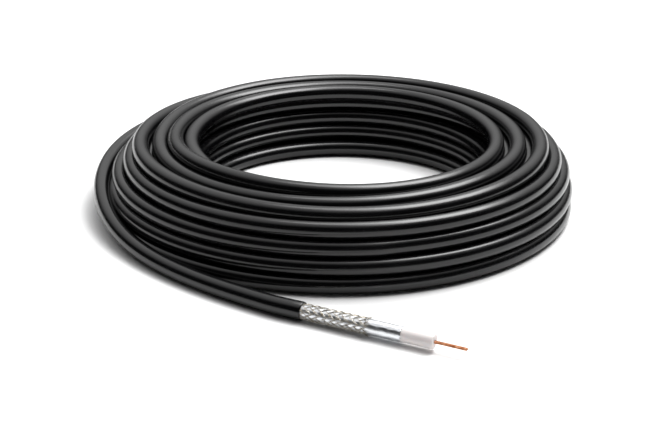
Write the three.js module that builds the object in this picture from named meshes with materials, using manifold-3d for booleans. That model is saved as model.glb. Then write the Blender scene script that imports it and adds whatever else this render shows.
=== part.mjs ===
// A coil of coaxial cable with one free tail, whose end is stripped in steps.
//
// The wound part of the cable is one turned ring. Its section is drawn by winding the
// turns in rows, each resting on the row below, and by walking round the outside of the
// pile, so that every turn shows as a round ridge. The tail is a tube along a route, and
// the bared layers are turned sleeves, one inside the other.
//
// Millimetres. +Z is up and the floor is z = 0. The stripped end lies in front, at -Y.

import * as THREE from 'three';
import Module from 'manifold-3d';

// The cable, from the outside in
const CABLE = 6.9;
const BRAID_OUTSIDE = 6.06;
const BRAID_WALL = 0.2;
const FOIL_WALL = 0.08;
const CONDUCTOR = 1.2;
const CONDUCTOR_LAY = 11;
const CONDUCTOR_LOBES = 6;
const FLUTE_SHARE = 0.82;
const LAYER_CLEARANCE = 0.02;

// How much of each layer is bare, and how far the layers run back inside the jacket
const BRAID_LENGTH = 26.5;
const FOIL_LENGTH = 13;
const DIELECTRIC_LENGTH = 12;
const CONDUCTOR_LENGTH = 12;
const LAYER_SEAT = 8;

// The pile of turns: rows from the floor up, with the gaps between neighbouring turns
// and how far the row's first turn stands back from the bore
const BORE = 122.5;
const ROWS = [
  { turns: 5, gap: 0.42, setback: 0 },
  { turns: 5, gap: 0.42, setback: 2.2 },
  { turns: 5, gap: 0.42, setback: 0 },
  { turns: 3, gap: 3.6, setback: 2.85 },
  { turns: 3, gap: 2.4, setback: 0 },
];

// The tail's route: degrees round the coil, distance outside it, height off the floor
const TAIL_ROUTE = [
  [116, -1.6, 14.3],
  [124, -1.5, 14.2],
  [134, -1.0, 13.9],
  [146, -0.2, 13.4],
  [158, 0.7, 12.6],
  [170, 0.9, 11.1],
  [180, 0.7, 9.2],
  [189, 0.5, 7.4],
  [197, 0.3, 5.5],
  [206, 0.2, 3.3],
  [215, 0.3, 1.5],
  [225, 0.7, 0.4],
  [234, 1.9, 0.1],
  [243, 4.3, 0.05],
  [250, 7.2, 0.05],
];
const TAIL_CUT = [-13.7, -117.4, 0.05];
const TAIL_END_ANGLE = -27;
const TAIL_END_STRAIGHT = 12;

// How finely the round shapes are drawn
const RING_STEPS = 44;
const TURN_SIDES = 10;
const TAIL_SIDES = 12;
const TAIL_STEPS = 44;
const LAYER_SIDES = 16;
const CONDUCTOR_STEPS_PER_LAY = 6;
const POINTS_PER_LOBE = 3;
const CREASE_ANGLE = 24;
const CORNER_MARGIN = 0.2;

const radians = THREE.MathUtils.degToRad;

// The rows of turns

function windRows() {
  const rows = [];
  let below = [];
  for (const row of ROWS) {
    const turns = [];
    for (let i = 0; i < row.turns; i += 1) {
      const radius = BORE / 2 + CABLE / 2 + row.setback + i * (CABLE + row.gap);
      turns.push({ radius, height: restingHeight(radius, below) });
    }
    rows.push(turns);
    below = turns;
  }
  return rows;
}

// A turn rests on whichever turns of the row below it touches, or else on the floor.
function restingHeight(radius, below) {
  let height = CABLE / 2;
  for (const turn of below) {
    const across = Math.abs(radius - turn.radius);
    if (across < CABLE) {
      height = Math.max(height, turn.height + Math.sqrt(CABLE ** 2 - across ** 2));
    }
  }
  return height;
}

// The turns that show, in the order of a walk round the section: under the pile, up its
// outside, over the top, where a lower turn shows in each wide gap, and down the bore.
function visibleTurns(rows) {
  const bottom = rows[0];
  const top = rows[rows.length - 1];
  const underTop = rows[rows.length - 2];
  const outside = rows.slice(1, -1).map((row) => row[row.length - 1]);
  const bore = rows.slice(1, -2).map((row) => row[0]);
  const crown = [];
  for (let i = top.length - 1; i >= 0; i -= 1) {
    crown.push(top[i]);
    if (underTop[i - 1]) {
      crown.push(underTop[i - 1]);
    }
  }
  return [...bottom, ...outside, ...crown, underTop[0], ...bore.reverse()];
}

// Each turn is drawn with a few flat sides, one of them straight below, to lie on the
// floor. A corner too close to the crease beside the next turn is left out.
function sectionOutline(walk) {
  const side = (2 * Math.PI) / TURN_SIDES;
  const cornerRadius = CABLE / 2 / Math.cos(side / 2);
  const crease = radians(CREASE_ANGLE);
  const flatBelow = (side - Math.PI) / 2;
  const outline = [];
  const add = (turn, angle, radius) => {
    const across = turn.radius + radius * Math.cos(angle);
    const up = turn.height + radius * Math.sin(angle);
    outline.push(new THREE.Vector2(across, up));
  };
  walk.forEach((turn, i) => {
    const before = walk[(i + walk.length - 1) % walk.length];
    const after = walk[(i + 1) % walk.length];
    const start = directionTo(turn, before) + crease;
    let end = directionTo(turn, after) - crease;
    while (end <= start) {
      end += 2 * Math.PI;
    }
    add(turn, start, CABLE / 2);
    const first = Math.ceil((start - flatBelow) / side + CORNER_MARGIN);
    for (let k = first; flatBelow + (k + CORNER_MARGIN) * side < end; k += 1) {
      add(turn, flatBelow + k * side, cornerRadius);
    }
    add(turn, end, CABLE / 2);
  });
  return outline;
}

function directionTo(turn, other) {
  return Math.atan2(other.height - turn.height, other.radius - turn.radius);
}

// A closed profile turned about the Z axis. LatheGeometry turns about Y, and its faces
// look outward when the profile runs counter-clockwise.
function turned(outline, steps) {
  const profile = [...outline];
  profile.push(profile[0].clone());
  const geometry = new THREE.LatheGeometry(profile, steps);
  geometry.rotateX(Math.PI / 2);
  return geometry;
}

// The tail

function tailDirection() {
  const angle = radians(TAIL_END_ANGLE);
  return new THREE.Vector3(Math.cos(angle), Math.sin(angle), 0);
}

function tailCut() {
  const [x, y, lift] = TAIL_CUT;
  return new THREE.Vector3(x, y, CABLE / 2 + lift);
}

function tailCurve(outerRadius) {
  const points = TAIL_ROUTE.map(([degrees, outside, lift]) => {
    const angle = radians(degrees);
    const radius = outerRadius + CABLE / 2 + outside;
    return new THREE.Vector3(radius * Math.cos(angle), radius * Math.sin(angle), CABLE / 2 + lift);
  });
  for (const back of [TAIL_END_STRAIGHT, LAYER_SEAT, 0]) {
    points.push(tailCut().addScaledVector(tailDirection(), -back));
  }
  return new THREE.CatmullRomCurve3(points, false, 'centripetal');
}

function regularPolygon(sides, radius) {
  const shape = new THREE.Shape();
  for (let i = 0; i < sides; i += 1) {
    const angle = (2 * Math.PI * i) / sides;
    const point = [radius * Math.cos(angle), radius * Math.sin(angle)];
    if (i === 0) {
      shape.moveTo(...point);
    } else {
      shape.lineTo(...point);
    }
  }
  shape.closePath();
  return shape;
}

// The stripped layers are turned about Z first, then laid down along +X.
function sleeve(from, to, inside, outside) {
  const outline = [
    new THREE.Vector2(inside / 2, from),
    new THREE.Vector2(outside / 2, from),
    new THREE.Vector2(outside / 2, to),
    new THREE.Vector2(inside / 2, to),
  ];
  return turned(outline, LAYER_SIDES).rotateY(Math.PI / 2);
}

// Seven strands twisted together show as a rod with six rounded flutes.
function twistedRod(from, to, diameter, lay) {
  const points = CONDUCTOR_LOBES * POINTS_PER_LOBE;
  const shape = new THREE.Shape();
  for (let i = 0; i < points; i += 1) {
    const angle = (2 * Math.PI * i) / points;
    const radius = (diameter / 2) * (i % POINTS_PER_LOBE === 0 ? FLUTE_SHARE : 1);
    const point = [radius * Math.cos(angle), radius * Math.sin(angle)];
    if (i === 0) {
      shape.moveTo(...point);
    } else {
      shape.lineTo(...point);
    }
  }
  shape.closePath();
  const length = to - from;
  const steps = Math.ceil((length / lay) * CONDUCTOR_STEPS_PER_LAY);
  const geometry = new THREE.ExtrudeGeometry(shape, { depth: length, steps, bevelEnabled: false });
  const position = geometry.getAttribute('position');
  const point = new THREE.Vector3();
  const up = new THREE.Vector3(0, 0, 1);
  for (let i = 0; i < position.count; i += 1) {
    point.fromBufferAttribute(position, i);
    point.applyAxisAngle(up, (2 * Math.PI * point.z) / lay);
    position.setXYZ(i, point.x, point.y, point.z);
  }
  geometry.translate(0, 0, from);
  geometry.rotateY(Math.PI / 2);
  geometry.computeVertexNormals();
  return geometry;
}

// Boolean cuts

const manifold = await Module();
manifold.setup();

function toManifold(geometry) {
  const source = geometry.index ? geometry.toNonIndexed() : geometry;
  const position = source.getAttribute('position');
  const places = new Map();
  const vertices = [];
  const triangles = [];
  for (let i = 0; i < position.count; i += 1) {
    const point = [position.getX(i), position.getY(i), position.getZ(i)];
    const key = point.map((value) => Math.round(value * 1e4)).join(' ');
    if (!places.has(key)) {
      places.set(key, vertices.length / 3);
      vertices.push(...point);
    }
    triangles.push(places.get(key));
  }
  const kept = [];
  for (let i = 0; i < triangles.length; i += 3) {
    const [a, b, c] = triangles.slice(i, i + 3);
    if (a !== b && b !== c && c !== a) {
      kept.push(a, b, c);
    }
  }
  return manifold.Manifold.ofMesh(new manifold.Mesh({
    numProp: 3,
    vertProperties: new Float32Array(vertices),
    triVerts: new Uint32Array(kept),
  }));
}

function fromManifold(solid) {
  const mesh = solid.getMesh();
  const geometry = new THREE.BufferGeometry();
  geometry.setAttribute('position', new THREE.BufferAttribute(mesh.vertProperties, 3));
  geometry.setIndex(new THREE.BufferAttribute(mesh.triVerts, 1));
  return geometry;
}

// Materials

const jacketPlastic = new THREE.MeshStandardMaterial({ color: 0x17181a, roughness: 0.3, metalness: 0 });
const tinnedWire = new THREE.MeshStandardMaterial({ color: 0xb9b3a6, roughness: 0.4, metalness: 1 });
const foilMetal = new THREE.MeshStandardMaterial({ color: 0xdfe1e3, roughness: 0.15, metalness: 1 });
const whiteFoam = new THREE.MeshStandardMaterial({ color: 0xe9e8e4, roughness: 0.6, metalness: 0 });
const bareCopper = new THREE.MeshStandardMaterial({ color: 0xa8683f, roughness: 0.35, metalness: 1 });

function named(name, geometry, material) {
  const mesh = new THREE.Mesh(geometry, material);
  mesh.name = name;
  return mesh;
}

// The diameters and ends of the bared layers follow from the cable's own sizes.
const braidInside = BRAID_OUTSIDE - 2 * BRAID_WALL;
const foilOutside = braidInside - 2 * LAYER_CLEARANCE;
const foilInside = foilOutside - 2 * FOIL_WALL;
const dielectricOutside = foilInside - 2 * LAYER_CLEARANCE;
const jacketBore = BRAID_OUTSIDE + 2 * LAYER_CLEARANCE;
const dielectricBore = (CONDUCTOR + 2 * LAYER_CLEARANCE) / Math.cos(Math.PI / LAYER_SIDES);
const braidEnd = BRAID_LENGTH;
const foilEnd = braidEnd + FOIL_LENGTH;
const dielectricEnd = foilEnd + DIELECTRIC_LENGTH;
const conductorEnd = dielectricEnd + CONDUCTOR_LENGTH;

const rows = windRows();
const outerRadius = Math.max(...rows.flat().map((turn) => turn.radius)) + CABLE / 2;

// The stripped end points along the tail's last direction.
const strippedEnd = new THREE.Group();
strippedEnd.position.copy(tailCut());
strippedEnd.rotation.z = radians(TAIL_END_ANGLE);
const braid = sleeve(-LAYER_SEAT, braidEnd, braidInside, BRAID_OUTSIDE);
const foil = sleeve(-LAYER_SEAT, foilEnd, foilInside, foilOutside);
const foam = sleeve(-LAYER_SEAT, dielectricEnd, dielectricBore, dielectricOutside);
const strands = twistedRod(-LAYER_SEAT, conductorEnd, CONDUCTOR, CONDUCTOR_LAY);
strippedEnd.add(named('shield_braid', braid, tinnedWire));
strippedEnd.add(named('shield_foil', foil, foilMetal));
strippedEnd.add(named('dielectric', foam, whiteFoam));
strippedEnd.add(named('conductor', strands, bareCopper));

// The tail's jacket is a solid tube, drilled from its cut end to take the layers.
function tailJacket() {
  const section = regularPolygon(TAIL_SIDES, CABLE / 2);
  const extrudePath = tailCurve(outerRadius);
  const options = { steps: TAIL_STEPS, extrudePath, bevelEnabled: false };
  const tube = new THREE.ExtrudeGeometry(section, options);
  const drill = sleeve(-LAYER_SEAT - LAYER_CLEARANCE, CABLE, 0, jacketBore);
  strippedEnd.updateMatrix();
  drill.applyMatrix4(strippedEnd.matrix);
  return fromManifold(toManifold(tube).subtract(toManifold(drill)));
}

const coil = new THREE.Group();
coil.add(named('coil_turns', turned(sectionOutline(visibleTurns(rows)), RING_STEPS), jacketPlastic));
coil.add(named('cable_tail', tailJacket(), jacketPlastic));
coil.add(strippedEnd);

// The origin is under the middle of the whole part's box, on the floor.
const box = new THREE.Box3().setFromObject(coil);
const middle = box.getCenter(new THREE.Vector3());
coil.position.set(-middle.x, -middle.y, -box.min.z);

export default coil;
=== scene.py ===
# %% [markdown]
# A coil of coaxial cable lies flat, and one tail comes off it to a stripped end.
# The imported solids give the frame: where the coil lies, how wide it is and where the
# tail is cut. This script winds the real cable inside that frame, turn by turn, and
# then builds each layer that the stripped end lays bare.

# %% Load the frame
import math

import bmesh
import bpy
import numpy as np
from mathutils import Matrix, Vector


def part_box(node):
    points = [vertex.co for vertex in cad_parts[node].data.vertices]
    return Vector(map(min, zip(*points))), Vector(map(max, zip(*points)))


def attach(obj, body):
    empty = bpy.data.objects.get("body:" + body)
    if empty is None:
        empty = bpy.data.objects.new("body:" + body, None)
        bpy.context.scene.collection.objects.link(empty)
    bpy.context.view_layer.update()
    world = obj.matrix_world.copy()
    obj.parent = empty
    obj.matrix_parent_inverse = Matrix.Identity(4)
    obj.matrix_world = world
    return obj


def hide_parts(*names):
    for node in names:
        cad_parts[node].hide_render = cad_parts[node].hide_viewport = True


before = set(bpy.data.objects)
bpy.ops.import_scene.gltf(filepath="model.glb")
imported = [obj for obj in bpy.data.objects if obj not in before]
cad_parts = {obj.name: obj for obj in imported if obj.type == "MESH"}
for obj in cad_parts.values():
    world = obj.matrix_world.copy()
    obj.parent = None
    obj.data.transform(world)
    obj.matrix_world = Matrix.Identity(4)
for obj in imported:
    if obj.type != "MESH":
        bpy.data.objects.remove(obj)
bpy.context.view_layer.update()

MM = 0.001
coil_low, coil_high = (Vector(corner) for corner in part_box("coil_turns"))
coil_axis = (coil_low + coil_high) / 2
print("coil axis", tuple(round(v, 4) for v in coil_axis), "width", round((coil_high - coil_low).x, 4))

# %% [markdown]
# The camera comes first, because everything is judged through it. Fitting the coil's
# outlines says that the photograph was taken from about 620 mm away and 22 degrees up.
# The focal length in pixels turns into a lens in millimetres through the picture's width
# of 650 pixels and the sensor's width. The coil sits a little right of the middle, so the
# camera turns left by that many pixels.

# %% Camera
SENSOR_WIDTH = 36
PHOTO_WIDTH = 650
FOCAL_PIXELS = 1421
COIL_COLUMN = 343.1
CAMERA_DISTANCE = 620 * MM
CAMERA_ELEVATION = math.radians(21.58)
CAMERA_PITCH = math.radians(22.24)

camera_data = bpy.data.cameras.new("photo camera")
camera_data.sensor_width = SENSOR_WIDTH
camera_data.lens = SENSOR_WIDTH * FOCAL_PIXELS / PHOTO_WIDTH
camera_data.clip_start = 0.01
camera = bpy.data.objects.new("photo camera", camera_data)
bpy.context.scene.collection.objects.link(camera)
camera.location = (
    coil_axis.x,
    coil_axis.y - CAMERA_DISTANCE * math.cos(CAMERA_ELEVATION),
    CAMERA_DISTANCE * math.sin(CAMERA_ELEVATION),
)
turn_left = math.atan((COIL_COLUMN - PHOTO_WIDTH / 2) / FOCAL_PIXELS)
camera.rotation_euler = (math.pi / 2 - CAMERA_PITCH, 0, turn_left)
bpy.context.scene.camera = camera
print("lens", round(camera_data.lens, 1), "mm")

# %% [markdown]
# The cable is 6.9 mm across, and every other size of the coil follows from it. Turns
# lie in rows. A coil pulled off a reel is loose and a little oval, so a place in the
# pile is three pairs of radius and height: at the coil's side, its front and its back.
# At the front the three lower rows are pulled inward, the higher the more. At the back
# the inner turns of the lowest row have slid furthest inward.

# %% The cable and its rows
CABLE = 6.9 * MM
BORE_RADIUS = 61.25 * MM
COLUMN_STEP = 7.32 * MM
ROW_RISE = 6.6 * MM
LEANING_COLUMNS = 3
TO_FRONT = (-3.4 * MM, -4.2 * MM, -5.0 * MM)
TO_BACK = (-9.0 * MM, -1.2 * MM, 1.5 * MM)


def pile_place(row, column, further_out=0.0):
    """The place of one turn in the neat lower rows."""
    radius = BORE_RADIUS + CABLE / 2 + column * COLUMN_STEP + further_out
    height = CABLE / 2 + row * ROW_RISE
    to_back = TO_BACK[row] if column < LEANING_COLUMNS else 0
    return [(radius, height), (radius + TO_FRONT[row], height), (radius + to_back, height)]


def top_place(side, front, back):
    """A turn of the loose upper rows, read off the photograph in millimetres."""
    return [(radius * MM, height * MM) for radius, height in (side, front, back)]


print("cable", CABLE / MM, "mm, lowest row from", BORE_RADIUS / MM, "mm")

# %% [markdown]
# A coil is one long line, so the turns have to follow each other. Here the winding
# starts high at the back, spirals in over the top, goes down through the rows and ends
# with three turns that climb the outside and leave as the tail. Each turn is written as
# two places, one for the coil's left half and one for its right half. The last place is
# the start of the tail, measured from the solids' own outermost radius.

# %% The order of the winding
half_turns = [
    top_place((88.6, 22.8), (90.8, 22.8), (93.2, 22.0)),
    top_place((89.7, 23.2), (90.8, 22.8), (88.0, 23.0)),
    top_place((86.3, 28.8), (84.4, 25.0), (86.6, 24.5)),
    top_place((83.8, 28.8), (84.4, 25.0), (80.8, 28.5)),
    top_place((76.3, 28.8), (77.6, 27.1), (80.6, 28.5)),
    top_place((74.6, 28.8), (77.6, 27.1), (72.6, 28.5)),
    top_place((69.3, 28.8), (70.8, 28.2), (72.4, 28.5)),
    top_place((65.0, 28.8), (70.8, 28.2), (64.9, 28.6)),
    top_place((62.5, 28.8), (73.8, 20.8), (64.9, 28.6)),
    top_place((69.8, 23.0), (73.8, 20.8), (67.6, 22.9)),
    top_place((66.5, 22.6), (62.4, 19.4), (67.6, 22.9)),
]
for column in range(3):
    half_turns += [pile_place(2, column)] * 2
half_turns += [
    top_place((79.3, 23.0), (79.0, 20.5), (79.0, 22.4)),
    top_place((81.3, 23.0), (80.0, 20.5), (79.0, 22.4)),
]
half_turns += [pile_place(2, 3)] * 2
for column in (3, 2, 1, 0):
    half_turns += [pile_place(1, column)] * 2
for column in (0, 1, 2):
    half_turns += [pile_place(0, column)] * 2
half_turns += [pile_place(0, 3)]
half_turns += [pile_place(0, 4, 6 * MM), pile_place(0, 4, 1.8 * MM)]
half_turns += [pile_place(1, 4, 4 * MM), pile_place(1, 4, 2.2 * MM)]
half_turns += [pile_place(2, 4, 2 * MM), pile_place(2, 4, 1.8 * MM)]
OUTER_RADIUS = 99.63 * MM
TAIL_INWARD = 1.6 * MM
TAIL_LIFT = 14.3 * MM
half_turns += [[(OUTER_RADIUS + CABLE / 2 - TAIL_INWARD, CABLE / 2 + TAIL_LIFT)] * 3]
print("half turns", len(half_turns) - 1)

# %% [markdown]
# The line moves from one place to the next in a gentle S, half of the times at the
# front and half at the back. The first climb, from under the top turns onto them, comes
# a little later. A slow wander is added, since no turn lies on a perfect curve.

# %% One smooth line through the places
STEPS = 90
BACK_CHANGE = 92
FRONT_CHANGE = 248
BACK_WIDTH = 60
FRONT_WIDTH = 56
START_AZIMUTH = 96
FIRST_CLIMB_LATER = 40
WANDER = 0.25 * MM


def smooth_step(share):
    share = np.clip(share, 0, 1)
    return share * share * (3 - 2 * share)


turns = (len(half_turns) - 1) // 2
azimuth = START_AZIMUTH + 360 * np.arange(turns * STEPS) / STEPS
places = np.array(half_turns)
line = np.repeat(places[:1], len(azimuth), axis=0)
for index in range(len(places) - 1):
    turn, at_back = divmod(index, 2)
    middle = 360 * turn + (BACK_CHANGE + 360 if at_back else FRONT_CHANGE)
    middle += FIRST_CLIMB_LATER if index == 1 else 0
    width = BACK_WIDTH if at_back else FRONT_WIDTH
    share = smooth_step((azimuth - middle) / width + 0.5)
    line += share[:, None, None] * (places[index + 1] - places[index])
angle = np.radians(azimuth)
in_front = np.clip(-np.sin(angle), 0, 1) ** 2
in_back = np.clip(np.sin(angle), 0, 1) ** 2
shares = np.array([1 - in_front - in_back, in_front, in_back])
radius, height = np.einsum("spk,sp->kp", line.transpose(1, 0, 2), shares)
radius += WANDER * (np.sin(1.13 * angle + 0.4) + 0.6 * np.sin(2.31 * angle + 2))
print("turns", turns, "points", len(azimuth))

# %% [markdown]
# Real turns can't run through each other. Seen in a slice across the pile, each turn is
# a disc, and discs that overlap push each other apart while the floor holds the lowest
# ones up. A little smoothing along the cable stands for its stiffness. What is printed
# is the smallest distance left, and it is close to the cable's own width.

# %% Let the turns settle against each other
SETTLE_ROUNDS = 160
STIFFNESS = 0.22
SMOOTHING_PASSES = 3
WISHED_DISTANCE = CABLE * 1.003
PUSH_SHARE = 0.42
radius = radius.reshape(turns, STEPS)
height = height.reshape(turns, STEPS)
itself = np.eye(turns)[:, :, None] * 1.0
for _ in range(SETTLE_ROUNDS):
    across = radius[:, None, :] - radius[None, :, :]
    above = height[:, None, :] - height[None, :, :]
    distance = np.hypot(across, above) + itself
    push = np.clip(WISHED_DISTANCE - distance, 0, None) / distance * PUSH_SHARE
    radius = radius + (push * across).sum(axis=1)
    height = np.maximum(height + (push * above).sum(axis=1), CABLE / 2)
    for values in (radius, height):
        line = values.reshape(-1)
        for _ in range(SMOOTHING_PASSES):
            middle = (line[:-2] + line[2:]) / 2
            line[1:-1] += STIFFNESS * (middle - line[1:-1])
across = radius[:, None, :] - radius[None, :, :]
above = height[:, None, :] - height[None, :, :]
closest = (np.hypot(across, above) + itself).min()
print("closest turns", round(closest / MM, 2), "mm apart, cable", CABLE / MM)

# %% [markdown]
# The tail isn't coiled, so its route is a list of points: degrees round the coil,
# distance outside it and height off the floor, both in millimetres. They are the points
# that the tail's solid follows, apart from its first one, which is the winding's last
# place. The last stretch is straight, down to the cut.

# %% The tail's route
TAIL_ROUTE = [
    (124, -1.5, 14.2),
    (134, -1.0, 13.9),
    (146, -0.2, 13.4),
    (158, 0.7, 12.6),
    (170, 0.9, 11.1),
    (180, 0.7, 9.2),
    (189, 0.5, 7.4),
    (197, 0.3, 5.5),
    (206, 0.2, 3.3),
    (215, 0.3, 1.5),
    (225, 0.7, 0.4),
    (234, 1.9, 0.1),
    (243, 4.3, 0.05),
    (250, 7.2, 0.05),
]
TAIL_CUT = Vector((-13.7, -117.4, 0.05)) * MM
TAIL_END_ANGLE = math.radians(-27)
STRAIGHT_STEPS = (12, 8, 0)

floor_axis = Vector((coil_axis.x, coil_axis.y, 0))
tail_direction = Vector((math.cos(TAIL_END_ANGLE), math.sin(TAIL_END_ANGLE), 0))
cut_point = floor_axis + TAIL_CUT + Vector((0, 0, CABLE / 2))


def around_coil(degrees, from_axis, above_floor):
    turned = math.radians(degrees)
    flat = Vector((math.cos(turned), math.sin(turned), 0)) * from_axis
    return floor_axis + flat + Vector((0, 0, above_floor))


tail_points = [
    around_coil(degrees, OUTER_RADIUS + CABLE / 2 + outside * MM, CABLE / 2 + lift * MM)
    for degrees, outside, lift in TAIL_ROUTE
]
tail_points += [cut_point - tail_direction * back * MM for back in STRAIGHT_STEPS]
print("tail points", len(tail_points), "cut at", tuple(round(v, 4) for v in cut_point))

# %% [markdown]
# A spline through the chosen points gives the tail its curve. Then the coil and the
# tail are one line, which is resampled at even steps. Where they meet it is smoothed a
# little, so that the join can't be seen. The stretch that is smoothed reaches from a
# little before the join to just before the cut. The tail took no part in the settling,
# so it presses into the turns beside it: by up to 3.2 mm at the back, where it leaves,
# and by less at the left.

# %% Join the coil and the tail
RING_SPACING = 4.6 * MM
SPLINE_PIECES = 12
SMOOTHED_RINGS = 132
UNTOUCHED_RINGS = 3
JOIN_PASSES = 14


def spline(points, pieces):
    """A smooth curve through the points, from the second to the last but one."""
    line = []
    for before, start, end, after in zip(points, points[1:], points[2:], points[3:]):
        for step in range(pieces):
            t = step / pieces
            line.append(0.5 * (
                2 * start
                + (end - before) * t
                + (2 * before - 5 * start + 4 * end - after) * t * t
                + (3 * start - before - 3 * end + after) * t ** 3
            ))
    line.append(points[-2].copy())
    return line


def evenly(points, spacing):
    """The same line with its points one spacing apart."""
    points = np.array([tuple(point) for point in points])
    lengths = np.linalg.norm(np.diff(points, axis=0), axis=1)
    along = np.concatenate([[0], np.cumsum(lengths)])
    count = int(round(along[-1] / spacing)) + 1
    wanted = np.linspace(0, along[-1], count)
    return np.column_stack([np.interp(wanted, along, points[:, k]) for k in range(3)])


coil_points = [
    around_coil(degrees, out, up)
    for degrees, out, up in zip(azimuth, radius.reshape(-1), height.reshape(-1))
]
overshoot = tail_points[-1] + tail_direction * 8 * MM
tail_line = spline(coil_points[-4:] + tail_points + [overshoot], SPLINE_PIECES)
route = evenly(coil_points[:-3] + tail_line, RING_SPACING)
join = route[-SMOOTHED_RINGS:-UNTOUCHED_RINGS]
for _ in range(JOIN_PASSES):
    join[1:-1] += 0.5 * ((join[:-2] + join[2:]) / 2 - join[1:-1])

# %% [markdown]
# A round section is swept along a line, for the jacket, for every wire of the braid and
# for the conductor's strands. Bevelled curves could do it, but rings of points let the
# jacket's cut ends be added to the same mesh. The section is carried along without
# turning about the line, so that the jacket doesn't twist. A short test sweep measures it.

# %% Sweep a round section along a line


def frames_along(points):
    """Two side directions at each point, turned as little as possible on the way."""
    points = np.asarray(points, float)
    tangents = np.gradient(points, axis=0)
    tangents /= np.linalg.norm(tangents, axis=1)[:, None]
    start = np.cross((0, 0, 1), tangents[0])
    if np.linalg.norm(start) < 1e-6:
        start = np.cross((1, 0, 0), tangents[0])
    sides = [start / np.linalg.norm(start)]
    for tangent in tangents[1:]:
        side = sides[-1] - tangent * np.dot(sides[-1], tangent)
        sides.append(side / np.linalg.norm(side))
    sides = np.array(sides)
    return sides, np.cross(tangents, sides)


def swept_rings(points, radii, corners):
    sides, ups = frames_along(points)
    turned = 2 * np.pi * np.arange(corners) / corners
    section = np.cos(turned)[None, :, None] * sides[:, None, :]
    section = section + np.sin(turned)[None, :, None] * ups[:, None, :]
    radii = np.broadcast_to(np.asarray(radii, float), (len(points),))
    return np.asarray(points)[:, None, :] + section * radii[:, None, None]


JACKET_CORNERS = 24
test_points = [(0, 0, 0), (0, 0, CABLE), (0, CABLE, 2 * CABLE)]
test_ring = swept_rings(test_points, CABLE / 2, JACKET_CORNERS)[1]
test_width = np.linalg.norm(test_ring[0] - test_ring[JACKET_CORNERS // 2])
print("a test ring is", round(test_width / MM, 2), "mm across")

# %% [markdown]
# Rings become one object: each ring is joined to the next with four-sided faces. The
# same function stores how far round and how far along the cable each corner lies, in
# turns and metres, so that a finish can follow the cable.

# %% Join rings into a mesh


def mesh_from_rings(name, bundles, closed_ends=True):
    """One object from several swept tubes, each a grid of rings by corners."""
    vertices = []
    faces = []
    places = []
    first = 0
    for rings in bundles:
        count, corners, _ = rings.shape
        lengths = np.linalg.norm(np.diff(rings.mean(axis=1), axis=0), axis=1)
        along = np.concatenate([[0], np.cumsum(lengths)])
        vertices.append(rings.reshape(-1, 3))
        for i in range(count - 1):
            for k in range(corners):
                following = (k + 1) % corners
                a = first + i * corners
                b = a + corners
                faces.append((a + k, a + following, b + following, b + k))
                around = (k / corners, (k + 1) / corners)
                places += [(around[0], along[i]), (around[1], along[i])]
                places += [(around[1], along[i + 1]), (around[0], along[i + 1])]
        if closed_ends:
            last = first + (count - 1) * corners
            faces.append(tuple(first + k for k in reversed(range(corners))))
            faces.append(tuple(last + k for k in range(corners)))
            places += [(0.5, along[0])] * corners + [(0.5, along[-1])] * corners
        first += count * corners
    mesh = bpy.data.meshes.new(name)
    mesh.from_pydata(np.concatenate(vertices).tolist(), [], faces)
    layer = mesh.uv_layers.new(name="along and around")
    layer.data.foreach_set("uv", np.array(places, dtype=np.float32).ravel())
    mesh.polygons.foreach_set("use_smooth", [True] * len(mesh.polygons))
    mesh.update()
    piece = bpy.data.objects.new(name, mesh)
    bpy.context.scene.collection.objects.link(piece)
    print(name, "has", len(mesh.polygons), "faces")
    return piece


print("one ring for every", RING_SPACING / MM, "mm of cable")

# %% [markdown]
# The jacket is one extruded PVC tube, so it is one sweep. At each end its wall shows: the
# outside rolls over a knife-cut edge, and an inner surface runs back round the layers.
# The rings for that are added to the same sweep, with a smaller radius.

# %% The jacket
JACKET_BORE = 6.1 * MM / 2
EDGE = 0.18 * MM
SEAT = 7 * MM

start_direction = route[0] - route[1]
start_direction /= np.linalg.norm(start_direction)
end_direction = np.array(tail_direction)


def mouth(point, direction):
    """Ring centres and radii out over the cut edge, in shares of the edge's width."""
    steps = [(-SEAT, JACKET_BORE), (-EDGE, JACKET_BORE), (0, JACKET_BORE + EDGE * 0.6)]
    steps += [(EDGE * 0.3, CABLE / 2 - EDGE * 1.2), (-EDGE * 0.3, CABLE / 2 - EDGE * 0.3)]
    steps += [(-EDGE * 1.6, CABLE / 2)]
    centres = [np.asarray(point) + np.asarray(direction) * back for back, _ in steps]
    return centres, [size for _, size in steps]


jacket_rings = swept_rings(route, CABLE / 2, JACKET_CORNERS)


def mouth_rings(point, direction, like):
    """The mouth's rings, with corners that line up with the jacket's own ring."""
    centres, sizes = mouth(point, direction)
    spokes = (like - like.mean(axis=0)) / (CABLE / 2)
    return np.array([centre + spokes * size for centre, size in zip(centres, sizes)])


start_rings = mouth_rings(route[0], start_direction, jacket_rings[0])
end_rings = mouth_rings(route[-1], end_direction, jacket_rings[-1])
whole_jacket = np.concatenate([start_rings, jacket_rings[1:-1], end_rings[::-1]])
jacket = mesh_from_rings("cable_jacket", [whole_jacket], closed_ends=False)
print("jacket wall", round((CABLE / 2 - JACKET_BORE) / MM, 2), "mm")

# %% [markdown]
# At the stripped end each layer is cut back further than the one inside it. All of them
# share one axis, so their points are given as a distance past the jacket's cut, an angle
# round the cable and a radius. Their diameters keep the shares of the cable's own that
# the photo shows.

# %% The stripped end's own axes
DIELECTRIC = 5.42 * MM / 2
FOIL = 5.58 * MM / 2
BRAID = 5.86 * MM / 2
CONDUCTOR = 1.2 * MM / 2
BRAID_END = 26.5 * MM
FOIL_END = BRAID_END + 13 * MM
DIELECTRIC_END = FOIL_END + 12 * MM
CONDUCTOR_END = DIELECTRIC_END + 12 * MM

end_side = np.array((-tail_direction.y, tail_direction.x, 0))
end_up = np.array((0, 0, 1.0))


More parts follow.
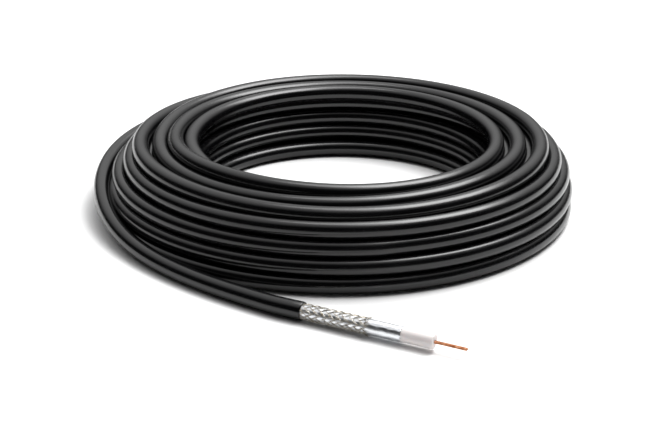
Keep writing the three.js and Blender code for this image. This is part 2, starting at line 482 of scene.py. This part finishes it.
def at_end(along, around, out):
    """A point on the stripped end: distance past the cut, angle and radius."""
    spoke = np.cos(around)[..., None] * end_side + np.sin(around)[..., None] * end_up
    along = np.asarray(along, float)[..., None]
    out = np.asarray(out, float)[..., None]
    return np.array(cut_point) + along * end_direction + out * spoke


tip = at_end(CONDUCTOR_END, 0.0, 0.0)
print("stripped for", round(CONDUCTOR_END / MM, 1), "mm, tip at", tip.round(4))

# %% [markdown]
# The braid is woven from two sets of wire bundles that wind round in opposite ways. Each
# bundle goes over two and under two of the other set. The height of a wire above the
# foil is a cosine of how many crossings it has passed, and the other set has the
# opposite sign, so the sets never meet. Wires stray a little from their bundle, and
# their loose ends lift and splay past the last crossings, but never below the floor.
# Every wire is its own thin tube, because the eye sees each one glint.

# %% The braid
BUNDLES = 10
WIRES = 4
WIRE = 0.13 * MM
WIRE_SPACING = WIRE * 1.5
BRAID_LAY = 31 * MM
BRAID_START = -2 * MM
WIRE_STEP = 0.42 * MM
WEAVE_HEIGHT = 0.11 * MM
RAGGED_END = 0.45 * MM
STRAY_ANGLE = 0.035
LOOSE_LENGTH = 2.2 * MM
LOOSE_LIFT = 0.35 * MM
LOOSE_LIFT_SPREAD = 0.22 * MM
LOOSE_ANGLE = 0.09
rng = np.random.default_rng(7)


def braid_wire(bundle, wire, hand):
    """The centreline of one wire, hand +1 or -1 for the two ways round."""
    end = BRAID_END + rng.normal(0, RAGGED_END)
    count = int((end - BRAID_START) / WIRE_STEP)
    along = np.linspace(BRAID_START, end, count)
    crossings = 2 * BUNDLES * along / BRAID_LAY
    weave = (-1) ** bundle * hand * np.cos(np.pi / 2 * crossings + hand * np.pi / 4)
    spread = (wire - (WIRES - 1) / 2) * WIRE_SPACING / BRAID
    around = 2 * np.pi * bundle / BUNDLES + hand * 2 * np.pi * along / BRAID_LAY + spread
    stray = rng.normal(0, STRAY_ANGLE)
    waves = along / MM * rng.uniform(0.25, 0.6) + rng.uniform(0, 6)
    around = around + stray * np.sin(waves)
    out = BRAID + WEAVE_HEIGHT * weave
    loose = np.clip((along - BRAID_END + LOOSE_LENGTH) / LOOSE_LENGTH, 0, None) ** 2
    out = out + loose * (LOOSE_LIFT + abs(rng.normal(0, LOOSE_LIFT_SPREAD)))
    around = around + loose * rng.normal(0, LOOSE_ANGLE)
    line = at_end(along, around, out)
    line[:, 2] = np.maximum(line[:, 2], WIRE)
    return line


braid_bundles = []
for hand in (1, -1):
    for bundle in range(BUNDLES):
        for wire in range(WIRES):
            braid_bundles.append(swept_rings(braid_wire(bundle, wire, hand), WIRE / 2, 5))
braid = mesh_from_rings("braid_wires", braid_bundles)
print("braid wires", len(braid_bundles))

# %% [markdown]
# The foil is a thin aluminium laminate wrapped lengthwise, so it has an overlap with an
# edge that runs along the cable, and the creases that fingers leave in it. The radius is
# a formula of the angle: a step for the overlap, shallow folds beside it, one wavy crease
# on the side that faces the viewer, and broad dents. Angles are in radians.

# %% The foil
FOIL_CORNERS = 72
FOIL_STEP = 0.5 * MM
FOIL_START = -3 * MM
FOIL_SHEET = 0.07 * MM
OVERLAP_HEIGHT = 0.09 * MM
FOLD_HEIGHT = 0.05 * MM
CREASE_HEIGHT = 0.07 * MM
DENT_DEPTH = 0.035 * MM
FOIL_RAGGED = 0.12 * MM


def bump_at(around, centre, width):
    """A smooth bump of height one, round one angle."""
    return np.exp(-(((around - centre) / width) ** 2))


def foil_radius(around, along):
    overlap = OVERLAP_HEIGHT / (1 + np.exp(-np.sin((around - 1.25) / 2) * 60))
    folds = FOLD_HEIGHT * (bump_at(around, 2.0, 0.09) - bump_at(around, 0.62, 0.07))
    reach = along / MM
    wavy = 2.45 + 0.1 * np.sin(reach * 1.3) + 0.05 * np.sin(reach * 3.1 + 1)
    crease = CREASE_HEIGHT * bump_at(around, wavy, 0.11)
    dents = DENT_DEPTH * np.sin(3 * around + reach * 0.55) * np.sin(reach * 0.9)
    return FOIL + overlap + folds + crease + dents


foil_along = np.arange(FOIL_START, FOIL_END + FOIL_STEP / 2, FOIL_STEP)
foil_around = 2 * np.pi * np.arange(FOIL_CORNERS) / FOIL_CORNERS
along_grid, around_grid = np.meshgrid(foil_along, foil_around, indexing="ij")
along_grid[-1] += FOIL_RAGGED * (np.sin(5 * foil_around) + np.sin(11 * foil_around + 1))
foil_out = foil_radius(around_grid, along_grid)
foil_outside = at_end(along_grid, around_grid, foil_out)
foil_inside = at_end(along_grid, around_grid, foil_out - FOIL_SHEET)
foil_rings = np.concatenate([foil_outside, foil_inside[::-1]])
foil = mesh_from_rings("foil_wrap", [foil_rings], closed_ends=False)
print("foil radius from", round(foil_out.min() / MM, 2), "to", round(foil_out.max() / MM, 2), "mm")

# %% [markdown]
# The dielectric is foamed polyethylene, cut square with a slightly soft edge. It is
# turned: a list of distances and radii that runs in from the foil, round the edge and
# across the face to the conductor.

# %% The dielectric
EDGE_ROUND = 0.5 * MM
EDGE_STEPS = 6
DIELECTRIC_CORNERS = 48


def turned_on_axis(name, profile, corners):
    around = 2 * np.pi * np.arange(corners) / corners
    rings = [at_end(np.full(corners, x), around, np.full(corners, r)) for x, r in profile]
    return mesh_from_rings(name, [np.array(rings)], closed_ends=False)


profile = [(FOIL_END - 6 * MM, DIELECTRIC - 0.3 * MM), (FOIL_END - 6 * MM, DIELECTRIC)]
profile += [(FOIL_END + x * MM, DIELECTRIC) for x in (0, 2, 4, 6, 8, 10)]
for step in range(EDGE_STEPS + 1):
    turn = math.pi / 2 * step / EDGE_STEPS
    x = DIELECTRIC_END - EDGE_ROUND + EDGE_ROUND * math.sin(turn)
    profile.append((x, DIELECTRIC - EDGE_ROUND + EDGE_ROUND * math.cos(turn)))
profile += [(DIELECTRIC_END, CONDUCTOR + 0.5 * MM), (DIELECTRIC_END - 0.1 * MM, CONDUCTOR)]
profile += [(DIELECTRIC_END - 3 * MM, CONDUCTOR * 0.9)]
dielectric = turned_on_axis("foam_dielectric", profile, DIELECTRIC_CORNERS)
print("foam diameter", round(2 * DIELECTRIC / MM, 2), "mm")

# %% [markdown]
# The conductor is seven copper strands, one in the middle and six twisted round it. A
# strand's own diameter is a third of the bundle's, so the six touch the middle one.

# %% The conductor
STRAND = CONDUCTOR * 2 / 3
STRAND_LAY = 11 * MM
STRAND_POINTS = 44
MIDDLE_STRAND = 6


def strand_line(number):
    end = CONDUCTOR_END + rng.normal(0, 0.12 * MM)
    along = np.linspace(DIELECTRIC_END - 2.5 * MM, end, STRAND_POINTS)
    around = 2 * np.pi * (along / STRAND_LAY + number / MIDDLE_STRAND)
    out = np.full(along.shape, 0.0 if number == MIDDLE_STRAND else STRAND)
    return at_end(along, around, out)


strands = [swept_rings(strand_line(n), STRAND / 2, 12) for n in range(MIDDLE_STRAND + 1)]
conductor = mesh_from_rings("copper_strands", strands)
print("strands", len(strands), "each", round(STRAND / MM, 2), "mm")

# %% [markdown]
# The other end of the cable is a plain cut, tucked in at the back. It shows the same
# layers in one flat face: a ring of braid, the white foam and a dot of copper. They are
# discs just inside the jacket's mouth, placed by the first ring of the route.

# %% The tucked end's face
DISC_CORNERS = 32
TINY = 0.001 * MM


def tucked_disc(name, inner, outer, proud):
    """A ring or disc across the cable at its first point."""
    side = np.cross((0, 0, 1), start_direction)
    side /= np.linalg.norm(side)
    up = np.cross(start_direction, side)
    around = 2 * np.pi * np.arange(DISC_CORNERS) / DISC_CORNERS
    spokes = np.cos(around)[:, None] * side + np.sin(around)[:, None] * up
    rings = []
    for back, size in ((-5 * MM, outer), (proud, outer), (proud, max(inner, TINY))):
        rings.append(route[0] + start_direction * back + spokes * size)
    return mesh_from_rings(name, [np.array(rings)], closed_ends=False)


tucked_braid = tucked_disc("tucked_braid", DIELECTRIC, BRAID + 0.1 * MM, -0.05 * MM)
tucked_foam = tucked_disc("tucked_foam", 0, DIELECTRIC, 0.0)
tucked_copper = tucked_disc("tucked_copper", 0, CONDUCTOR, 0.03 * MM)
print("tucked end at", route[0].round(4))

# %% [markdown]
# Materials are built from nodes. One function adds a node, sets its properties and fills
# its inputs, either with a value or with a link from another node. Colours are written
# as they look on a screen and turned into linear light by one more function.

# %% Material helpers


def linear(hex_colour, alpha=1.0):
    """An sRGB hex colour as the linear values that shaders work in."""
    light = []
    for start in (1, 3, 5):
        c = int(hex_colour[start:start + 2], 16) / 255
        light.append(c / 12.92 if c <= 0.04045 else ((c + 0.055) / 1.055) ** 2.4)
    return (*light, alpha)


def add_node(tree, kind, inputs=None, **settings):
    made = tree.nodes.new(kind)
    for name, value in settings.items():
        setattr(made, name, value)
    for socket, value in (inputs or {}).items():
        if isinstance(value, bpy.types.NodeSocket):
            tree.links.new(value, made.inputs[socket])
        else:
            made.inputs[socket].default_value = value
    return made


def new_material(name, **shader_inputs):
    material = bpy.data.materials.new(name)
    material.use_nodes = True
    tree = material.node_tree
    shader = tree.nodes["Principled BSDF"]
    for socket, value in shader_inputs.items():
        shader.inputs[socket.replace("_", " ")].default_value = value
    return material, tree, shader


print("middle grey in linear light", round(linear("#808080")[0], 3))

# %% [markdown]
# PVC jacket, pressed hot through a round die. The die leaves it glossy, with very faint
# lines along the cable and a slight orange-peel ripple, and handling dulls it in patches.
# The lines follow the cable because they are drawn in the sweep's own coordinates. Real
# die lines are finer, and these are as coarse as they have to be to show.

# %% Extruded PVC jacket
DIE_LINES = 90
DIE_LINE_LENGTH = 166.7 * MM
PEEL = 2.4 * MM
HANDLED_PATCH = 26 * MM
pvc, tree, shader = new_material(
    "extruded PVC jacket", Base_Color=linear("#050506"), Roughness=0.22, IOR=1.5)
place = add_node(tree, "ShaderNodeTexCoord")
stretched = add_node(tree, "ShaderNodeMapping", {
    "Vector": place.outputs["UV"], "Scale": (DIE_LINES, 1 / DIE_LINE_LENGTH, 1)})
lines = add_node(tree, "ShaderNodeTexNoise", {
    "Vector": stretched.outputs["Vector"], "Scale": 1.0, "Detail": 2.0})
peel = add_node(tree, "ShaderNodeTexNoise", {
    "Vector": place.outputs["Object"], "Scale": 1 / PEEL, "Detail": 1.0})
handled = add_node(tree, "ShaderNodeTexNoise", {
    "Vector": place.outputs["Object"], "Scale": 1 / HANDLED_PATCH, "Detail": 4.0})
dull = add_node(tree, "ShaderNodeMapRange", {
    "Value": handled.outputs["Fac"], "From Min": 0.35, "From Max": 0.75,
    "To Min": 0.17, "To Max": 0.27})
tree.links.new(dull.outputs["Result"], shader.inputs["Roughness"])
line_bump = add_node(tree, "ShaderNodeBump", {
    "Height": lines.outputs["Fac"], "Strength": 0.12, "Distance": 0.03 * MM})
peel_bump = add_node(tree, "ShaderNodeBump", {
    "Height": peel.outputs["Fac"], "Strength": 0.1, "Distance": 0.05 * MM,
    "Normal": line_bump.outputs["Normal"]})
tree.links.new(peel_bump.outputs["Normal"], shader.inputs["Normal"])
jacket.data.materials.append(pvc)
print(pvc.name, "die lines", round(math.pi * CABLE / DIE_LINES / MM, 2), "mm apart")

# %% [markdown]
# Tinned copper wire, drawn through dies and then dipped. The tin is bright, but thin
# enough that copper warms it in places, so the colour drifts between silver and tan from
# one wire to the next.

# %% Tinned copper braid wire
TIN_DRIFT = 0.9 * MM
DRAWN_MARK = 0.12 * MM
tinned, tree, shader = new_material(
    "tinned copper braid wire", Metallic=1.0, Roughness=0.28)
place = add_node(tree, "ShaderNodeTexCoord")
drift = add_node(tree, "ShaderNodeTexNoise", {
    "Vector": place.outputs["Object"], "Scale": 1 / TIN_DRIFT, "Detail": 2.0})
tones = add_node(tree, "ShaderNodeValToRGB", {"Fac": drift.outputs["Fac"]})
tones.color_ramp.elements[0].position = 0.36
tones.color_ramp.elements[0].color = linear("#857862")
tones.color_ramp.elements[1].position = 0.62
tones.color_ramp.elements[1].color = linear("#cfccc6")
tree.links.new(tones.outputs["Color"], shader.inputs["Base Color"])
drawn = add_node(tree, "ShaderNodeTexNoise", {
    "Vector": place.outputs["Object"], "Scale": 1 / DRAWN_MARK, "Detail": 1.0})
drawn_bump = add_node(tree, "ShaderNodeBump", {
    "Height": drawn.outputs["Fac"], "Strength": 0.2, "Distance": 0.01 * MM})
tree.links.new(drawn_bump.outputs["Normal"], shader.inputs["Normal"])
for piece in (braid, tucked_braid):
    piece.data.materials.append(tinned)
print(tinned.name, "has", len(tree.nodes), "nodes")

# %% [markdown]
# Aluminium foil laminate, rolled bright and bonded to a film. It reflects almost
# everything, and its fine crinkles break and blur the reflections. Real crinkles are
# finer still, and these are as coarse as they have to be to show.

# %% Aluminium foil laminate
CRINKLE_ACROSS = 1.17 * MM
CRINKLE_ALONG = 1.92 * MM
foil_metal, tree, shader = new_material(
    "aluminium foil laminate", Base_Color=linear("#dfe1e4"), Metallic=1.0, Roughness=0.3)
crinkles_around = 2 * math.pi * FOIL / CRINKLE_ACROSS
place = add_node(tree, "ShaderNodeTexCoord")
stretched = add_node(tree, "ShaderNodeMapping", {
    "Vector": place.outputs["UV"], "Scale": (crinkles_around, 1 / CRINKLE_ALONG, 1)})
crinkle = add_node(tree, "ShaderNodeTexNoise", {
    "Vector": stretched.outputs["Vector"], "Scale": 1.0, "Detail": 3.0})
crinkle_bump = add_node(tree, "ShaderNodeBump", {
    "Height": crinkle.outputs["Fac"], "Strength": 0.8, "Distance": 0.16 * MM})
tree.links.new(crinkle_bump.outputs["Normal"], shader.inputs["Normal"])
foil.data.materials.append(foil_metal)
print(foil_metal.name, "crinkles around", round(crinkles_around, 1))

# %% [markdown]
# Foamed polyethylene, blown with gas while it is extruded. The tiny cells scatter light
# inside it, which makes it milky, and its skin has a soft waxy sheen.

# %% Foamed polyethylene
FOAM_CELL = 0.5 * MM
foam, tree, shader = new_material(
    "foamed polyethylene", Base_Color=linear("#e9e3e2"), Roughness=0.4, IOR=1.51)
shader.inputs["Subsurface Weight"].default_value = 0.5
shader.inputs["Subsurface Radius"].default_value = (1.0, 0.88, 0.84)
shader.inputs["Subsurface Scale"].default_value = 1.2 * MM
place = add_node(tree, "ShaderNodeTexCoord")
cells = add_node(tree, "ShaderNodeTexNoise", {
    "Vector": place.outputs["Object"], "Scale": 1 / FOAM_CELL, "Detail": 3.0})
cell_bump = add_node(tree, "ShaderNodeBump", {
    "Height": cells.outputs["Fac"], "Strength": 0.12, "Distance": 0.05 * MM})
tree.links.new(cell_bump.outputs["Normal"], shader.inputs["Normal"])
for piece in (dielectric, tucked_foam):
    piece.data.materials.append(foam)
print(foam.name, "cells drawn", FOAM_CELL / MM, "mm wide")

# %% [markdown]
# Bare copper strands, drawn and annealed. Copper's colour is in its reflection, and air
# browns it slightly, more in some places than in others.

# %% Bare copper strand
BROWNED_PATCH = 1.6 * MM
copper, tree, shader = new_material("bare copper strand", Metallic=1.0, Roughness=0.32)
place = add_node(tree, "ShaderNodeTexCoord")
air = add_node(tree, "ShaderNodeTexNoise", {
    "Vector": place.outputs["Object"], "Scale": 1 / BROWNED_PATCH, "Detail": 3.0})
browns = add_node(tree, "ShaderNodeValToRGB", {"Fac": air.outputs["Fac"]})
browns.color_ramp.elements[0].position = 0.35
browns.color_ramp.elements[0].color = linear("#a5643f")
browns.color_ramp.elements[1].position = 0.65
browns.color_ramp.elements[1].color = linear("#e5ab84")
tree.links.new(browns.outputs["Color"], shader.inputs["Base Color"])
for piece in (conductor, tucked_copper):
    piece.data.materials.append(copper)
print(copper.name, "patches", BROWNED_PATCH / MM, "mm wide")

# %% [markdown]
# Each piece is hung from the frame's root body. The imported solids that the pieces
# stand for are hidden.

# %% Tie the pieces to the frame
end_pieces = [braid, foil, dielectric, conductor]
tucked_pieces = [tucked_braid, tucked_foam, tucked_copper]
for piece in [jacket] + end_pieces + tucked_pieces:
    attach(piece, "root")
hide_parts("coil_turns", "cable_tail")
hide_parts("shield_braid")
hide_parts("shield_foil")
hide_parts("dielectric")
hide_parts("conductor")

# %% [markdown]
# The floor is plain and pale and runs on far enough that no edge shows. It is nearly
# white, as a studio sweep is, so that the coil's soft shadow stays visible on it.

# %% Floor
FLOOR_HALF = 6.0
FLOOR_DROP = 0.0002
floor_mesh = bpy.data.meshes.new("studio floor")
sweep = bmesh.new()
bmesh.ops.create_grid(sweep, x_segments=8, y_segments=8, size=FLOOR_HALF)
sweep.to_mesh(floor_mesh)
sweep.free()
floor = bpy.data.objects.new("studio floor", floor_mesh)
bpy.context.scene.collection.objects.link(floor)
floor.location.z = -FLOOR_DROP
paper, tree, shader = new_material(
    "matt white paper sweep", Base_Color=linear("#f6f6f6"), Roughness=0.7)
floor_mesh.materials.append(paper)
print("floor", 2 * FLOOR_HALF, "m wide")

# %% [markdown]
# The light is soft and comes from above. One wide panel overhead lights the floor and
# keeps the shadows soft. A smaller one, above and a little to the right, draws the white
# streaks along the turns.

# %% Light panels


def soft_box(name, direction, distance, width, depth, watts):
    data = bpy.data.lights.new(name, "AREA")
    data.shape = "RECTANGLE"
    data.size = width
    data.size_y = depth
    data.energy = watts
    lamp = bpy.data.objects.new(name, data)
    bpy.context.scene.collection.objects.link(lamp)
    lamp.location = floor_axis + Vector(direction).normalized() * distance
    lamp.rotation_euler = Vector(direction).to_track_quat("Z", "Y").to_euler()
    return lamp


soft_box("overhead panel", (0.3, 0.3, 1.0), 1.3, 1.1, 1.1, 14)
streak = soft_box("streak panel", (0.37, 0.23, 0.90), 1.0, 0.54, 0.50, 6.0)
print("streak panel at", tuple(round(v, 2) for v in streak.location))

# %% [markdown]
# Glossy black shows little but what it mirrors. So the sky is bright above and behind
# the coil and dark in front of it: the turns' tops turn grey, and their fronts and the
# gaps between them stay black. The brightness follows one number for each direction,
# its height plus half of how far it points to the back.

# %% Sky
DARK_BELOW = 0.52
BRIGHT_FROM = 0.98
world = bpy.data.worlds.new("studio sky")
bpy.context.scene.world = world
world.use_nodes = True
sky = world.node_tree
direction = add_node(sky, "ShaderNodeTexCoord")
split = add_node(sky, "ShaderNodeSeparateXYZ", {"Vector": direction.outputs["Generated"]})
behind = add_node(
    sky, "ShaderNodeMath", {0: split.outputs["Y"], 1: 0.5, 2: split.outputs["Z"]},
    operation="MULTIPLY_ADD")
walls = add_node(sky, "ShaderNodeMapRange", {
    "Value": behind.outputs["Value"], "From Min": DARK_BELOW, "From Max": BRIGHT_FROM,
    "To Min": 0.02, "To Max": 1.25})
sky.links.new(walls.outputs["Result"], sky.nodes["Background"].inputs["Strength"])
sky.nodes["Background"].inputs["Color"].default_value = linear("#ffffff")
print("sky nodes", len(sky.nodes))
bpy.context.scene.view_settings.view_transform = "Standard"
